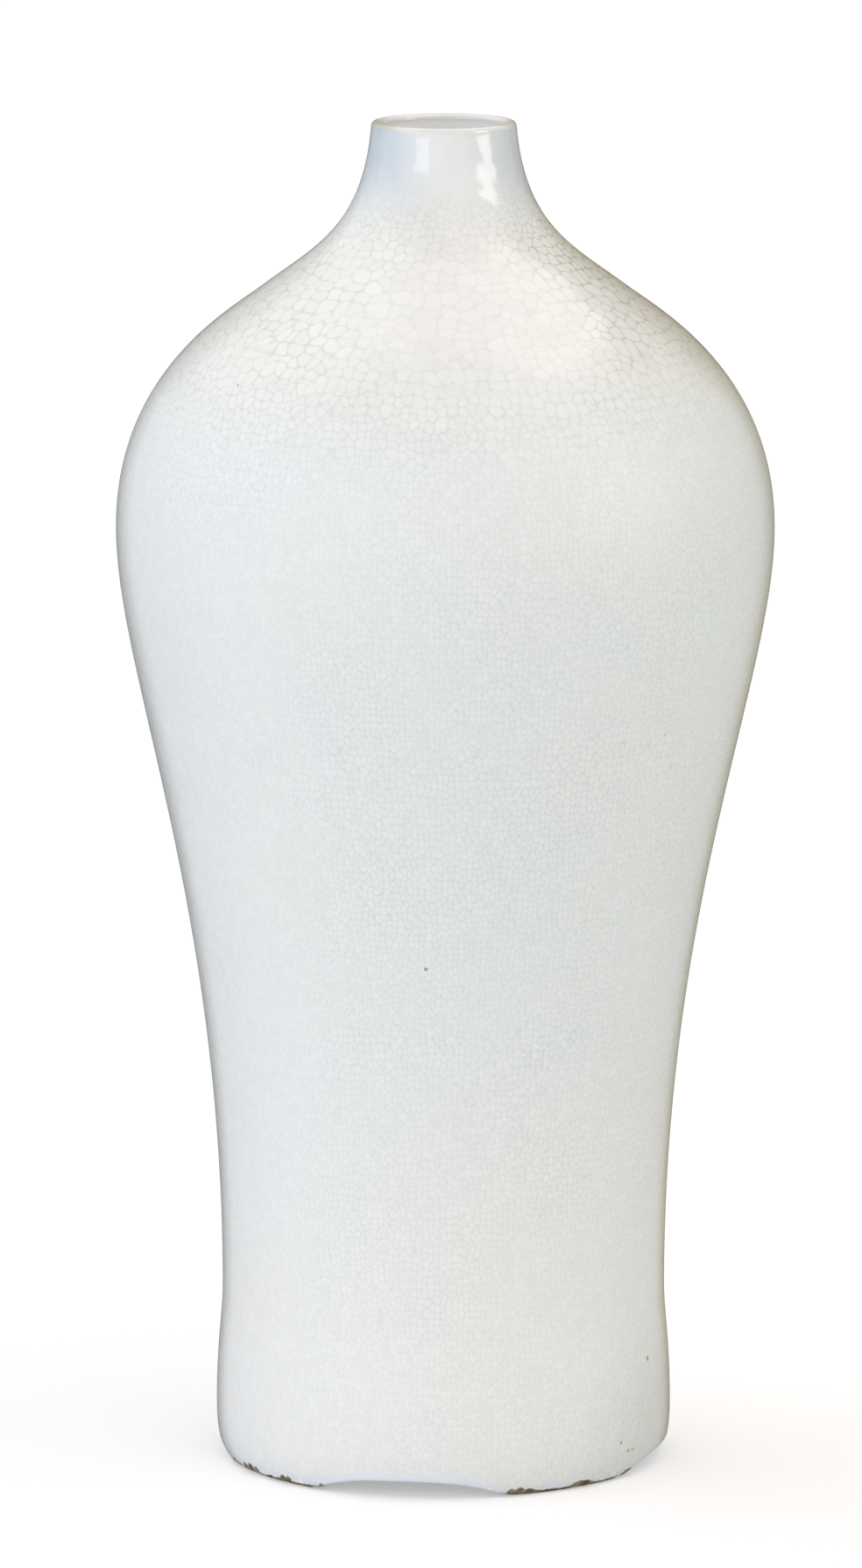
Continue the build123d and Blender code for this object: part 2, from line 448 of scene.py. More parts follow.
class Graph:
    """Short calls that add nodes to one shader tree and wire them together."""

    MIX_INPUTS: tuple[int, int, int] = (0, 6, 7)
    MIX_RESULT: int = 2

    def __init__(self, tree: bpy.types.NodeTree) -> None:
        """Work on this tree."""
        self.tree = tree

    def feed(self, socket: Socket, value: object) -> None:
        """Give an input its value.

        Args:
            socket: The input.
            value: Another node's output to wire to it, or a plain value to set.
        """
        if isinstance(value, bpy.types.NodeSocket):
            self.tree.links.new(value, socket)
        else:
            socket.default_value = (*value, 1.0) if socket.type == "RGBA" else value

    def node(self, kind: str, *values: object, **settings: object) -> bpy.types.Node:
        """Add a node.

        Args:
            kind: Blender's name for the kind of node.
            values: What its first inputs get, in order.
            settings: Its own settings.

        Returns:
            The new node.
        """
        node = self.tree.nodes.new(kind)
        for key, value in settings.items():
            setattr(node, key, value)
        for socket, value in zip(node.inputs, values):
            self.feed(socket, value)
        return node

    def named(self, node: bpy.types.Node, **values: object) -> bpy.types.Node:
        """Feed a node's inputs by name.

        Args:
            node: The node.
            values: The inputs' values by name, with underscores for spaces.

        Returns:
            The same node.
        """
        for name, value in values.items():
            self.feed(node.inputs[name.replace("_", " ")], value)
        return node

    def group(self, tree: bpy.types.NodeTree, **values: object) -> bpy.types.Node:
        """Place a node group and feed its inputs by name."""
        return self.named(self.node("ShaderNodeGroup", node_tree=tree), **values)

    def math(self, operation: str, *values: object, clamp: bool = False) -> Socket:
        """Work out one number from up to three others."""
        return self.node("ShaderNodeMath", *values, operation=operation, use_clamp=clamp).outputs[0]

    def product(self, first: object, *others: object) -> object:
        """Multiply numbers together.

        Args:
            first: The first number.
            others: The rest of them.

        Returns:
            Their product.
        """
        for other in others:
            first = self.math("MULTIPLY", first, other)
        return first

    def vector(self, operation: str, *values: object) -> Socket:
        """Work out a vector, or for DOT_PRODUCT and DISTANCE a number, from vectors."""
        node = self.node("ShaderNodeVectorMath", *values, operation=operation)
        return node.outputs["Value" if operation in ("DOT_PRODUCT", "DISTANCE") else "Vector"]

    def scaled(self, vector: object, share: object) -> Socket:
        """A vector times a number."""
        node = self.node("ShaderNodeVectorMath", vector, operation="SCALE")
        return self.named(node, Scale=share).outputs["Vector"]

    def ramp(self, value: object, low: object, high: object, start: float = 0.0, end: float = 1.0,
             smooth: bool = True) -> Socket:
        """Turn one range of a number into another, held at both ends.

        Args:
            value: The number to turn.
            low: Where the range begins.
            high: Where it ends, which may be lower.
            start: What the beginning becomes.
            end: What the end becomes.
            smooth: Whether the change eases in and out.

        Returns:
            The socket with the result.
        """
        kind = "SMOOTHSTEP" if smooth else "LINEAR"
        node = self.node("ShaderNodeMapRange", interpolation_type=kind, clamp=True)
        self.named(node, Value=value, From_Min=low, From_Max=high, To_Min=start, To_Max=end)
        return node.outputs["Result"]

    def noise(self, place: Socket, scale: float, detail: float = 2.0, output: str = "Fac") -> Socket:
        """Soft random patches with this many to the metre."""
        node = self.node("ShaderNodeTexNoise")
        return self.named(node, Vector=place, Scale=scale, Detail=detail).outputs[output]

    def blend(self, share: object, first: object, second: object) -> Socket:
        """Mix two colours.

        Args:
            share: How much of the second there is, from 0 to 1.
            first: The first colour.
            second: The second colour.

        Returns:
            The mixed colour.
        """
        node = self.node("ShaderNodeMix", data_type="RGBA")
        for slot, value in zip(self.MIX_INPUTS, (share, first, second)):
            self.feed(node.inputs[slot], value)
        return node.outputs[self.MIX_RESULT]


class Kind(Enum):
    """The kinds of socket that a node group has."""

    NUMBER = "NodeSocketFloat"
    VECTOR = "NodeSocketVector"
    COLOUR = "NodeSocketColor"


class GroupMaker:
    """Builds one shader node group with named inputs and outputs."""

    def __init__(self, name: str, inputs: dict[str, Kind], outputs: dict[str, Kind]) -> None:
        """Make an empty group.

        Args:
            name: The group's name.
            inputs: The kind of every input, by name.
            outputs: The kind of every output, by name.
        """
        self.tree = bpy.data.node_groups.new(name, "ShaderNodeTree")
        for side, sockets in (("INPUT", inputs), ("OUTPUT", outputs)):
            for label, kind in sockets.items():
                self.tree.interface.new_socket(name=label, in_out=side, socket_type=kind.value)
        self.graph = Graph(self.tree)
        self.start = self.graph.node("NodeGroupInput")
        self.end = self.graph.node("NodeGroupOutput")

    def given(self, label: str) -> Socket:
        """The input with this name."""
        return self.start.outputs[label]

    def give(self, label: str, value: Socket) -> None:
        """Wire a socket to the output with this name."""
        self.graph.feed(self.end.inputs[label], value)


@dataclass(frozen=True)
class Band:
    """A change over a range of heights or widths, in millimetres, from one number to another."""

    low: float
    high: float
    start: float = 0.0
    end: float = 1.0

    def over(self, graph: Graph, distance: Socket) -> Socket:
        """The changing number, for a height or a width in metres."""
        return graph.ramp(distance, self.low * MM, self.high * MM, self.start, self.end)


@dataclass(frozen=True)
class Patches:
    """Soft random patches: number to the metre, detail, and which range becomes which numbers."""

    scale: float
    detail: float
    low: float
    high: float
    start: float = 0.0
    end: float = 1.0

    def over(self, graph: Graph, place: Socket) -> Socket:
        """The number that changes from patch to patch."""
        noise = graph.noise(place, self.scale, self.detail)
        return graph.ramp(noise, self.low, self.high, self.start, self.end)


@dataclass(frozen=True)
class Mark:
    """A round mark or patch: its angle and height on the outside, and its radius in millimetres."""

    angle: float
    height: float
    radius: float

    def centre(self) -> tuple[float, float, float]:
        """The mark's place on the outside of the vase, in metres.

        Returns:
            Its X, Y and Z.
        """
        radius = float(OUTSIDE.radius_at(self.height)) * MM
        turn = math.radians(self.angle)
        return (radius * math.cos(turn), radius * math.sin(turn), self.height * MM)

    def patch(self, graph: Graph, place: Socket, inner: float) -> Socket:
        """A mask that is 1 within this share of the radius and falls to 0 at the radius."""
        away = graph.vector("DISTANCE", place, self.centre())
        return graph.ramp(away, self.radius * MM, inner * self.radius * MM)

    def spot(self, graph: Graph, place: Socket, speck: bpy.types.NodeTree) -> Socket:
        """A mask that is 1 inside the mark and has a ragged edge."""
        node = graph.group(speck, Place=place, Centre=self.centre(), Radius=self.radius * MM)
        return node.outputs["Mark"]


# Effects that several finishes share


@dataclass(frozen=True)
class CellSize:
    """One size of crackle cell: its number round the vase, its height for its width, its gap and its top."""

    number: float
    stretch: float
    gap: float
    top: float


@dataclass(frozen=True)
class Crackle:
    """The crackle: rounded cells that are large on the shoulder and small on the body."""

    sizes: tuple[CellSize, ...] = (
        CellSize(80.0, 1.00, 0.42, 300.0),
        CellSize(62.0, 1.00, 0.42, 258.0),
        CellSize(84.0, 1.00, 0.42, 244.0),
        CellSize(118.0, 1.05, 0.43, 237.0),
        CellSize(160.0, 1.10, 0.44, 231.5),
        CellSize(215.0, 1.15, 0.45, 226.0),
        CellSize(285.0, 1.20, 0.45, 218.5),
        CellSize(340.0, 1.25, 0.48, 210.0),
        CellSize(295.0, 1.25, 0.48, 160.0),
        CellSize(245.0, 1.25, 0.48, 100.0),
    )
    border: float = 1.0
    border_wander: float = 13.0
    border_scale: float = 110.0
    shift: Span = (3.7, 1.9)
    measured_below: float = 4.0
    warp: float = 0.9
    warp_scale: float = 0.45
    randomness: float = 0.80
    line: Span = (0.02, 0.33)

    def group(self) -> bpy.types.NodeTree:
        """Build the node group.

        Returns:
            A group that turns a place on the unrolled glaze and its height into Gap, which is 1 in the
            lines between the cells, and Cell, a number that differs from cell to cell.
        """
        inputs = {"Wrap": Kind.VECTOR, "Level": Kind.NUMBER, "Place": Kind.VECTOR}
        maker = GroupMaker("crackle", inputs, {"Gap": Kind.NUMBER, "Cell": Kind.NUMBER})
        graph = maker.graph
        uneven = graph.noise(maker.given("Place"), self.border_scale)
        most = self.border_wander * MM
        level = graph.math("ADD", maker.given("Level"), graph.math("MULTIPLY_ADD", uneven, most, -most / 2))
        gap: object = 0.0
        cell: object = 0.0
        for step, size in enumerate(self.sizes):
            line, tint = self.cells(maker, size, step)
            share = graph.ramp(level, (size.top + self.border) * MM, (size.top - self.border) * MM)
            gap = graph.math("MULTIPLY_ADD", share, graph.math("SUBTRACT", line, gap), gap)
            cell = graph.math("MULTIPLY_ADD", share, graph.math("SUBTRACT", tint, cell), cell)
        maker.give("Gap", gap)
        maker.give("Cell", cell)
        return maker.tree

    def cells(self, maker: GroupMaker, size: CellSize, step: int) -> tuple[Socket, Socket]:
        """Lay one size of cell over the whole glaze.

        Args:
            maker: The group that is being built.
            size: The size of cell.
            step: How many sizes came before it.

        Returns:
            A mask of the lines between the cells, and a number that differs from cell to cell.
        """
        graph = maker.graph
        wide = size.number / math.tau
        shift = (self.shift[0] * step, self.shift[1] * step, 0.0)
        spot = graph.vector("MULTIPLY_ADD", maker.given("Wrap"), (wide, wide / size.stretch, 0.0), shift)
        around = math.tau * float(OUTSIDE.radius_at(size.top - self.measured_below)) * MM
        warp = graph.noise(maker.given("Place"), self.warp_scale * size.number / around, 1.0, "Color")
        warp = graph.vector("SUBTRACT", warp, (0.5, 0.5, 0.5))
        spot = graph.vector("ADD", spot, graph.scaled(warp, self.warp))
        both = []
        for feature in ("F1", "SMOOTH_F1"):
            near = graph.node("ShaderNodeTexVoronoi", voronoi_dimensions="2D", feature=feature)
            both.append(graph.named(near, Vector=spot, Scale=1.0, Randomness=self.randomness))
        sharp, soft = both
        graph.named(soft, Smoothness=2 * size.gap)
        sunk = graph.math("SUBTRACT", sharp.outputs["Distance"], soft.outputs["Distance"])
        line = graph.ramp(sunk, self.line[0] * size.gap, self.line[1] * size.gap)
        return line, graph.node("ShaderNodeSeparateColor", sharp.outputs["Color"]).outputs[0]


@dataclass(frozen=True)
class Mottle:
    """The slow change of colour in a glaze that lies thicker here and thinner there."""

    broad: Patches = Patches(16.0, 3.0, 0.32, 0.68)
    broad_share: float = 0.65
    fine_scale: float = 170.0
    fine_share: float = 0.35

    def group(self) -> bpy.types.NodeTree:
        """Build the node group.

        Returns:
            A group that turns a place, a colour and a second colour into a mix of the two in soft patches.
        """
        inputs = {"Place": Kind.VECTOR, "Thin": Kind.COLOUR, "Thick": Kind.COLOUR, "Amount": Kind.NUMBER}
        maker = GroupMaker("mottle", inputs, {"Colour": Kind.COLOUR})
        graph, place = maker.graph, maker.given("Place")
        broad = graph.math("MULTIPLY", self.broad.over(graph, place), self.broad_share)
        both = graph.math("MULTIPLY_ADD", graph.noise(place, self.fine_scale), self.fine_share, broad)
        share = graph.math("MULTIPLY", both, maker.given("Amount"), clamp=True)
        maker.give("Colour", graph.blend(share, maker.given("Thin"), maker.given("Thick")))
        return maker.tree


@dataclass(frozen=True)
class Speck:
    """One small round mark in a glaze, with a ragged edge."""

    ragged: float = 0.8
    ragged_scale: float = 1500.0
    smallest: float = 0.6
    edge: Span = (1.15, 0.7)

    def group(self) -> bpy.types.NodeTree:
        """Build the node group.

        Returns:
            A group that turns a place, a centre and a radius into Mark, a mask that is 1 inside the mark.
        """
        inputs = {"Place": Kind.VECTOR, "Centre": Kind.VECTOR, "Radius": Kind.NUMBER}
        maker = GroupMaker("speck", inputs, {"Mark": Kind.NUMBER})
        graph, place = maker.graph, maker.given("Place")
        rough = graph.noise(place, self.ragged_scale)
        ragged = graph.math("MULTIPLY_ADD", rough, self.ragged, self.smallest)
        away = graph.vector("DISTANCE", place, maker.given("Centre"))
        share = graph.math("DIVIDE", away, graph.math("MULTIPLY", maker.given("Radius"), ragged))
        maker.give("Mark", graph.ramp(share, *self.edge))
        return maker.tree


@dataclass(frozen=True)
class FootStain:
    """The brown staining along the worn edge that the vase stands on."""

    least_reach: float = 0.34
    patch_reach: float = 1.6
    patches: Patches = Patches(95.0, 2.0, 0.50, 0.66)
    grit_reach: float = 0.8
    grit_scale: float = 900.0
    grit_detail: float = 3.0
    edge: Band = Band(0.18, -0.10)
    shades: Patches = Patches(420.0, 3.0, 0.35, 0.65)
    blotches: tuple[Mark, ...] = (
        Mark(-143.5, 1.0, 1.15),
        Mark(-140.5, 1.2, 1.25),
        Mark(-137.8, 1.2, 1.0),
        Mark(-126.5, 1.2, 0.9),
        Mark(-124.4, 1.2, 0.8),
        Mark(-62.6, 0.8, 1.1),
        Mark(-60.4, 0.8, 1.2),
        Mark(-58.2, 0.6, 0.9),
    )

    def group(self, speck: bpy.types.NodeTree) -> bpy.types.NodeTree:
        """Build the node group.

        Args:
            speck: The group that makes one round mark, for the larger blotches.

        Returns:
            A group that turns a place into Stain, a mask that is 1 in the stain, and Shade, its
            light and dark.
        """
        outputs = {"Stain": Kind.NUMBER, "Shade": Kind.NUMBER}
        maker = GroupMaker("foot_stain", {"Place": Kind.VECTOR}, outputs)
        graph, place = maker.graph, maker.given("Place")
        height = graph.node("ShaderNodeSeparateXYZ", place).outputs["Z"]
        patch = self.patches.over(graph, place)
        reach = graph.math("MULTIPLY_ADD", patch, self.patch_reach * MM, self.least_reach * MM)
        grit = graph.noise(place, self.grit_scale, self.grit_detail)
        reach = graph.math("MULTIPLY_ADD", grit, self.grit_reach * MM, reach)
        stain = self.edge.over(graph, graph.math("SUBTRACT", height, reach))
        for blotch in self.blotches:
            stain = graph.math("MAXIMUM", stain, blotch.spot(graph, place, speck))
        maker.give("Stain", stain)
        maker.give("Shade", self.shades.over(graph, place))
        return maker.tree


@dataclass(frozen=True)
class Effects:
    """The node groups that several finishes share."""

    crackle: bpy.types.NodeTree
    mottle: bpy.types.NodeTree
    foot_stain: bpy.types.NodeTree
    speck: bpy.types.NodeTree


# Finishes


GLAZE_IOR = 1.52
STAIN_ROUGHNESS = 0.6


class Finish:
    """What every finish shares: a new material, its shader, the place on the vase and its height."""

    def __init__(self, name: str) -> None:
        """Make an empty material.

        Args:
            name: The material's name.
        """
        self.material = bpy.data.materials.new(name)
        self.material.use_nodes = True
        self.graph = Graph(self.material.node_tree)
        self.shader = self.material.node_tree.nodes["Principled BSDF"]
        self.place = self.graph.node("ShaderNodeTexCoord").outputs["Object"]
        self.height = self.graph.node("ShaderNodeSeparateXYZ", self.place).outputs["Z"]

    def attribute(self, name: str, output: str) -> Socket:
        """A value that the mesh carries at its points."""
        return self.graph.node("ShaderNodeAttribute", attribute_name=name).outputs[output]

    def band(self, band: Band) -> Socket:
        """A number that changes with the height."""
        return band.over(self.graph, self.height)

    def crackle(self, effects: Effects, level: object) -> bpy.types.Node:
        """The crackle of this finish, with the size of cell that belongs to a height."""
        wrap = self.attribute(WRAP_ATTRIBUTE, "Vector")
        return self.graph.group(effects.crackle, Wrap=wrap, Level=level, Place=self.place)

    def mottled(self, effects: Effects, thin: Colour, thick: Colour, amount: float) -> Socket:
        """A colour that changes between two in soft patches."""
        node = self.graph.group(effects.mottle, Place=self.place, Thin=thin, Thick=thick, Amount=amount)
        return node.outputs["Colour"]

    def surface(self, colour: Socket, roughness: Socket, bump: Socket, depth: float) -> None:
        """Wire the surface's colour, roughness and relief to the shader.

        Args:
            colour: The base colour.
            roughness: The roughness.
            bump: The relief, from 0 to 1.
            depth: How deep the relief is, in millimetres.
        """
        relief = self.graph.named(self.graph.node("ShaderNodeBump"), Height=bump, Distance=depth * MM)
        normal = relief.outputs["Normal"]
        self.graph.named(self.shader, Base_Color=colour, Roughness=roughness, Normal=normal)


@dataclass(frozen=True)
class Brown:
    """The colours of the staining at the foot."""

    light: Colour
    dark: Colour

    def over(self, finish: Finish, effects: Effects, colour: Socket) -> tuple[Socket, Socket]:
        """Stain the foot of a finish.

        Args:
            finish: The finish.
            effects: The shared node groups.
            colour: The colour without the stain.

        Returns:
            The colour with the stain, and the stain's mask.
        """
        stain = finish.graph.group(effects.foot_stain, Place=finish.place)
        brown = finish.graph.blend(stain.outputs["Shade"], self.dark, self.light)
        return finish.graph.blend(stain.outputs["Stain"], colour, brown), stain.outputs["Stain"]


@dataclass(frozen=True)
class CrackleGlaze:
    """The pale bluish crackle glaze on the outside."""

    effects: Effects
    cell: Colour = (0.626, 0.686, 0.688)
    cell_warm: Colour = (0.655, 0.684, 0.672)
    warmth: float = 0.8
    low: Colour = (0.668, 0.694, 0.686)
    low_zone: Band = Band(125.0, 30.0)
    shoulder: Colour = (0.652, 0.668, 0.645)
    shoulder_zone: Band = Band(214.0, 240.0)

    cell_shades: Span = (0.975, 1.02)
    body_gap: Colour = (0.832, 0.874, 0.884)
    shoulder_gap: Colour = (0.725, 0.730, 0.670)
    old_gap: Colour = (0.52, 0.53, 0.45)
    gap_low: Band = Band(18.0, 90.0, 0.6, 1.0)
    gap_high: Band = Band(150.0, 200.0, 1.0, 0.8)
    gap_top: Band = Band(275.0, 264.0)
    gap_patches: Patches = Patches(34.0, 2.0, 0.3, 0.7, 0.6, 1.0)
    # Painted sheen: the crackle lines are made fainter on the body's left side, seen from the front, where
    # the light from the left washes over it.
    painted_veil: Band = Band(-20.0, -36.0)
    painted_veil_top: Band = Band(215.0, 190.0)
    painted_veil_loss: float = 0.5
    gap_stain_top: Band = Band(270.0, 257.0)
    # Painted highlight: in this patch on the shoulder the lines take the paler body tint, as if the overhead
    # panel's reflection washed them out.
    highlit_lines_patch: Mark = Mark(-69.0, 242.0, 33.0)
    highlit_lines_inner: float = 0.5
    old_patch: Mark = Mark(-22.0, 248.0, 31.0)
    old_inner: float = 0.4

    neck: Colour = (0.638, 0.680, 0.694)
    # Painted shade: the neck and the lip turn to these darker colours at their sides, seen from the front.
    neck_painted_shade: Colour = (0.445, 0.528, 0.580)
    neck_zone: Band = Band(256.0, 274.0, 0.0, 0.85)
    neck_shade_turn: Band = Band(4.0, 15.0)
    neck_shade_middle: float = 2.5
    lip: Colour = (0.62, 0.632, 0.610)
    lip_painted_shade: Colour = (0.44, 0.44, 0.37)
    lip_zone: Band = Band(278.6, 279.6)
    lip_shade_turn: Band = Band(10.0, 15.0)

    pooled: Colour = (0.60, 0.675, 0.765)
    pooling: float = 0.9
    # Painted shade: the foot's lower right side, seen from the front, is darkened within this patch.
    painted_shade_patch: Mark = Mark(-10.0, 3.0, 34.0)
    painted_shade_inner: float = 0.3
    painted_shade_tint: Colour = (0.91, 0.91, 0.90)
    flake: Colour = (0.80, 0.80, 0.78)
    flakes: Patches = Patches(620.0, 1.0, 0.60, 0.66)
    flake_zone: Band = Band(3.2, 1.6)
    stain: Brown = Brown((0.245, 0.205, 0.110), (0.060, 0.052, 0.024))
    mark_strength: float = 0.8
    marks: tuple[Mark, ...] = (
        Mark(-84.3, 112.3, 0.45),
        Mark(-15.9, 23.9, 0.55),
        Mark(-26.2, 6.0, 0.40),
        Mark(-24.2, 5.9, 0.30),
        Mark(-29.4, 8.2, 0.35),
        Mark(-129.0, 230.3, 0.35),
        Mark(-34.4, 159.2, 0.35),
    )

    roughness: Band = Band(222.0, 239.0, 0.50, 0.14)
    neck_roughness: Band = Band(250.0, 266.0, 0.0, -0.02)
    uneven: Band = Band(222.0, 239.0, 0.04, 0.15)
    uneven_patches: Patches = Patches(60.0, 2.0, 0.3, 0.7, -1.0, 1.0)
    grazing_start: Band = Band(222.0, 239.0, 0.66, 0.45)
    grazing_end: Band = Band(222.0, 239.0, 0.84, 0.78)
    grazing_share: float = 0.3
    relief: float = 0.08
    relief_scale: float = 210.0
    relief_detail: float = 1.0
    relief_swell: Band = Band(250.0, 266.0, 1.0, 4.0)

    def material(self) -> bpy.types.Material:
        """Build the material.

        Returns:
            The new material.
        """
        finish = Finish("crackle_glaze")
        graph, place = finish.graph, finish.place
        sideways = graph.vector("DOT_PRODUCT", place, tuple(towards(90.0, 0.0)))
        colour = self.crackled(finish, sideways)
        colour = self.necked_and_shaded(finish, colour, sideways)
        colour = self.worn(finish, colour)
        for mark in self.marks:
            share = graph.product(mark.spot(graph, place, self.effects.speck), self.mark_strength)
            colour = graph.blend(share, colour, self.stain.light)
        colour, stain = self.stain.over(finish, self.effects, colour)
        relief = graph.noise(place, self.relief_scale, self.relief_detail)
        relief = graph.product(relief, finish.band(self.relief_swell))
        finish.surface(colour, self.gloss(finish, stain), relief, self.relief)
        finish.shader.inputs["IOR"].default_value = GLAZE_IOR
        return finish.material

    def crackled(self, finish: Finish, sideways: Socket) -> Socket:
        """Colour the cells and the lines between them; the lines are painted paler in the shoulder's
        highlight and fainter on the body's left side.

        Args:
            finish: The finish that is being built.
            sideways: How far each place lies to the right of the axis, seen from the front.

        Returns:
            The colour of the body and the shoulder.
        """
        graph, place = finish.graph, finish.place
        upper = finish.band(self.shoulder_zone)
        colour = finish.mottled(self.effects, self.cell, self.cell_warm, self.warmth)
        colour = graph.blend(finish.band(self.low_zone), colour, self.low)
        colour = graph.blend(upper, colour, self.shoulder)
        crackle = finish.crackle(self.effects, finish.height)
        # Painted sheen: fainter lines on the body's left side, seen from the front.
        painted_veil = graph.product(self.painted_veil.over(graph, sideways), finish.band(self.painted_veil_top))
        painted_veil = graph.math("MULTIPLY_ADD", painted_veil, -self.painted_veil_loss, 1.0)
        heights = [finish.band(band) for band in (self.gap_low, self.gap_high, self.gap_top)]
        gap = graph.product(*heights, self.gap_patches.over(graph, place), painted_veil, crackle.outputs["Gap"])
        # Painted highlight: paler lines where the shoulder's highlight lies.
        highlit = self.highlit_lines_patch.patch(graph, place, self.highlit_lines_inner)
        stained = graph.math("SUBTRACT", 1.0, highlit)
        stained = graph.product(stained, upper, finish.band(self.gap_stain_top))
        old = self.old_patch.patch(graph, place, self.old_inner)
        tint = graph.blend(stained, self.body_gap, graph.blend(old, self.shoulder_gap, self.old_gap))
        shade = graph.ramp(crackle.outputs["Cell"], 0.0, 1.0, *self.cell_shades, smooth=False)
        return graph.blend(gap, graph.scaled(colour, shade), graph.vector("MULTIPLY", colour, tint))

    def necked_and_shaded(self, finish: Finish, colour: Socket, sideways: Socket) -> Socket:
        """Tint the neck and the lip, with painted shade that darkens their sides as seen from the front.

        Args:
            finish: The finish that is being built.
            colour: The colour so far.
            sideways: How far each place lies to the right of the axis, seen from the front.

        Returns:
            The colour with the neck's and the lip's tint and painted shade.
        """
        graph = finish.graph
        # Painted shade: darker sides of the neck and the lip, seen from the front.
        across = graph.math("ABSOLUTE", graph.math("SUBTRACT", sideways, self.neck_shade_middle * MM))
        neck = graph.blend(self.neck_shade_turn.over(graph, across), self.neck, self.neck_painted_shade)
        colour = graph.blend(finish.band(self.neck_zone), colour, neck)
        lip = graph.blend(self.lip_shade_turn.over(graph, across), self.lip, self.lip_painted_shade)
        return graph.blend(finish.band(self.lip_zone), colour, lip)

    def worn(self, finish: Finish, colour: Socket) -> Socket:
        """Tint the glaze where it has pooled along its lower edge or flaked, and paint shade on the foot's
        lower right side.

        Args:
            finish: The finish that is being built.
            colour: The colour so far.

        Returns:
            The colour with these tints and the painted shade.
        """
        graph, place = finish.graph, finish.place
        edge = finish.attribute(EDGE_ATTRIBUTE, "Fac")
        colour = graph.blend(graph.product(edge, self.pooling), colour, self.pooled)
        # Painted shade on the foot's lower right side, seen from the front.
        painted_shade = self.painted_shade_patch.patch(graph, place, self.painted_shade_inner)
        colour = graph.blend(painted_shade, colour, graph.vector("MULTIPLY", colour, self.painted_shade_tint))
        flaked = graph.product(self.flakes.over(graph, place), finish.band(self.flake_zone), edge)
        return graph.blend(flaked, colour, self.flake)

    def gloss(self, finish: Finish, stain: Socket) -> Socket:
        """Work out the roughness: soft on the body, glossy on the shoulder and the neck, matt in the stain.

        Args:
            finish: The finish that is being built.
            stain: The mask of the foot's staining.

        Returns:
            The roughness, which is lower where the glaze is seen at a grazing angle.
        """
        graph = finish.graph
        rough = graph.math("ADD", finish.band(self.roughness), finish.band(self.neck_roughness))
        uneven = graph.product(finish.band(self.uneven), self.uneven_patches.over(graph, finish.place))
        rough = graph.math("MULTIPLY_ADD", rough, uneven, rough)
        facing = graph.node("ShaderNodeLayerWeight").outputs["Facing"]
        start, end = finish.band(self.grazing_start), finish.band(self.grazing_end)
        rough = graph.product(rough, graph.ramp(facing, start, end, 1.0, self.grazing_share))
        return graph.math("MULTIPLY_ADD", stain, STAIN_ROUGHNESS, rough, clamp=True)


@dataclass(frozen=True)
class PlainGlaze:
    """The pale glaze inside and under the vase."""

    effects: Effects
    thin: Colour = (0.86, 0.88, 0.88)
    thick: Colour = (0.81, 0.85, 0.865)
    thickness: float = 0.9
    gap: Colour = (0.72, 0.76, 0.76)
    gap_level: float = 0.0
    gap_strength: float = 0.25
    lip: Colour = (0.66, 0.665, 0.64)
    lip_zone: Band = Band(277.6, 279.2)
    stain: Brown = Brown((0.30, 0.25, 0.14), (0.085, 0.070, 0.034))
    roughness: Patches = Patches(80.0, 2.0, 0.3, 0.7, 0.08, 0.18)
    relief: float = 0.05
    relief_scale: float = 120.0

    def material(self) -> bpy.types.Material:
        """Build the material.

        Returns:
            The new material.
        """
        finish = Finish("plain_glaze")
        graph, place = finish.graph, finish.place
        colour = finish.mottled(self.effects, self.thin, self.thick, self.thickness)
        crackle = finish.crackle(self.effects, self.gap_level)
        colour = graph.blend(graph.product(crackle.outputs["Gap"], self.gap_strength), colour, self.gap)
        colour = graph.blend(finish.band(self.lip_zone), colour, self.lip)
        colour, stain = self.stain.over(finish, self.effects, colour)
        smooth = self.roughness.over(graph, place)
        rough = graph.math("MULTIPLY_ADD", stain, STAIN_ROUGHNESS, smooth, clamp=True)
        finish.surface(colour, rough, graph.noise(place, self.relief_scale), self.relief)
        finish.shader.inputs["IOR"].default_value = GLAZE_IOR
        return finish.material


@dataclass(frozen=True)
class BareClay:
    """Fired clay without glaze, stained brown where the foot is worn."""

    effects: Effects
    pale: Colour = (0.62, 0.57, 0.48)
    warm: Colour = (0.50, 0.42, 0.31)
    warmth: float = 1.0
    stain: Brown = Brown((0.215, 0.175, 0.090), (0.048, 0.040, 0.018))
    roughness: Patches = Patches(2200.0, 3.0, 0.3, 0.7, 0.7, 0.9)
    relief: float = 0.12

    def material(self) -> bpy.types.Material:
        """Build the material.

        Returns:
            The new material.
        """
        finish = Finish("bare_clay")
        colour = finish.mottled(self.effects, self.pale, self.warm, self.warmth)
        colour, _ = self.stain.over(finish, self.effects, colour)
        grit = finish.graph.noise(finish.place, self.roughness.scale, self.roughness.detail)
        finish.surface(colour, self.roughness.over(finish.graph, finish.place), grit, self.relief)
        return finish.material


@dataclass(frozen=True)
class LutingSlip:
    """The fine slip that joins the clay sections, hidden under the glaze."""

    effects: Effects
    pale: Colour = (0.60, 0.55, 0.47)
    warm: Colour = (0.55, 0.49, 0.40)
    warmth: float = 1.0
    roughness: Patches = Patches(1400.0, 2.0, 0.3, 0.7, 0.75, 0.9)
    relief: float = 0.03

    def material(self) -> bpy.types.Material:
        """Build the material.

        Returns:
            The new material.
        """
        finish = Finish("luting_slip")
        colour = finish.mottled(self.effects, self.pale, self.warm, self.warmth)
        grain = finish.graph.noise(finish.place, self.roughness.scale, self.roughness.detail)
        finish.surface(colour, self.roughness.over(finish.graph, finish.place), grain, self.relief)
        return finish.material


# Pieces


def dress(piece: bpy.types.Object, material: bpy.types.Material) -> None:
    """Give a piece one material."""
    piece.data.materials.clear()
    piece.data.materials.append(material)


